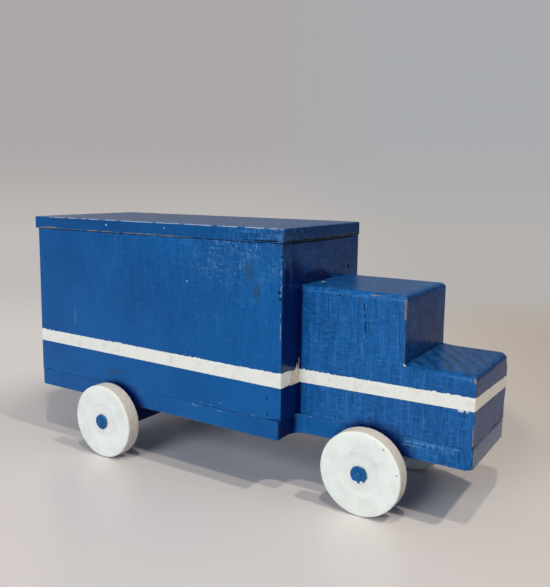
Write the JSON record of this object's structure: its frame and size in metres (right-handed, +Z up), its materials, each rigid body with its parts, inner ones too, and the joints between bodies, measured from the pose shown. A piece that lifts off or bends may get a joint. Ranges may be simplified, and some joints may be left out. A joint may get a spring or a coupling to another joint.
{
  "type": "toy box truck",
  "caption": "Homemade wooden toy box truck: closed load box with a roof board, solid stepped cab block and disc wheels that turn freely on nails.",
  "frame": {"origin": "on the floor under the middle of the whole toy", "axes": "+X towards the front of the truck, +Y to its left, +Z up"},
  "size_m": [0.3494, 0.1402, 0.1776],
  "materials": {
    "blue_board": "brushed enamel over board",
    "blue_block": "brushed enamel over a sawn block",
    "blue_strip": "brushed enamel over a strip",
    "nail": "painted over",
    "washer": "painted over",
    "white_wheel": "thick off-white paint"
  },
  "bodies": {
    "chassis": {"base_board": "blue_board", "side_panel_right": "blue_board", "side_panel_left": "blue_board", "front_panel": "blue_board", "rear_panel": "blue_board", "roof_board": "blue_board", "cab_block": "blue_block", "axle_block_rear": "blue_strip", "axle_block_front": "blue_strip", "axle_nail_rear_right": "nail", "axle_nail_rear_left": "nail", "axle_nail_front_right": "nail", "axle_nail_front_left": "nail", "axle_washer_rear_right": "washer", "axle_washer_rear_left": "washer", "axle_washer_front_right": "washer", "axle_washer_front_left": "washer"},
    "body_wheel_rear_right": {"wheel_rear_right": "white_wheel"},
    "body_wheel_rear_left": {"wheel_rear_left": "white_wheel"},
    "body_wheel_front_right": {"wheel_front_right": "white_wheel"},
    "body_wheel_front_left": {"wheel_front_left": "white_wheel"}
  },
  "joints": [
    {"name": "turn_wheel_rear_right", "type": "hinge", "parent": "chassis", "child": "body_wheel_rear_right", "pos_m": [-0.0913, -0.0622, 0.02765], "axis": [0, 1, 0], "continuous": true},
    {"name": "turn_wheel_rear_left", "type": "hinge", "parent": "chassis", "child": "body_wheel_rear_left", "pos_m": [-0.0913, 0.0622, 0.02765], "axis": [0, 1, 0], "continuous": true},
    {"name": "turn_wheel_front_right", "type": "hinge", "parent": "chassis", "child": "body_wheel_front_right", "pos_m": [0.1095, -0.03985, 0.02765], "axis": [0, 1, 0], "continuous": true},
    {"name": "turn_wheel_front_left", "type": "hinge", "parent": "chassis", "child": "body_wheel_front_left", "pos_m": [0.1095, 0.04585, 0.02765], "axis": [0, 1, 0], "continuous": true}
  ]
}
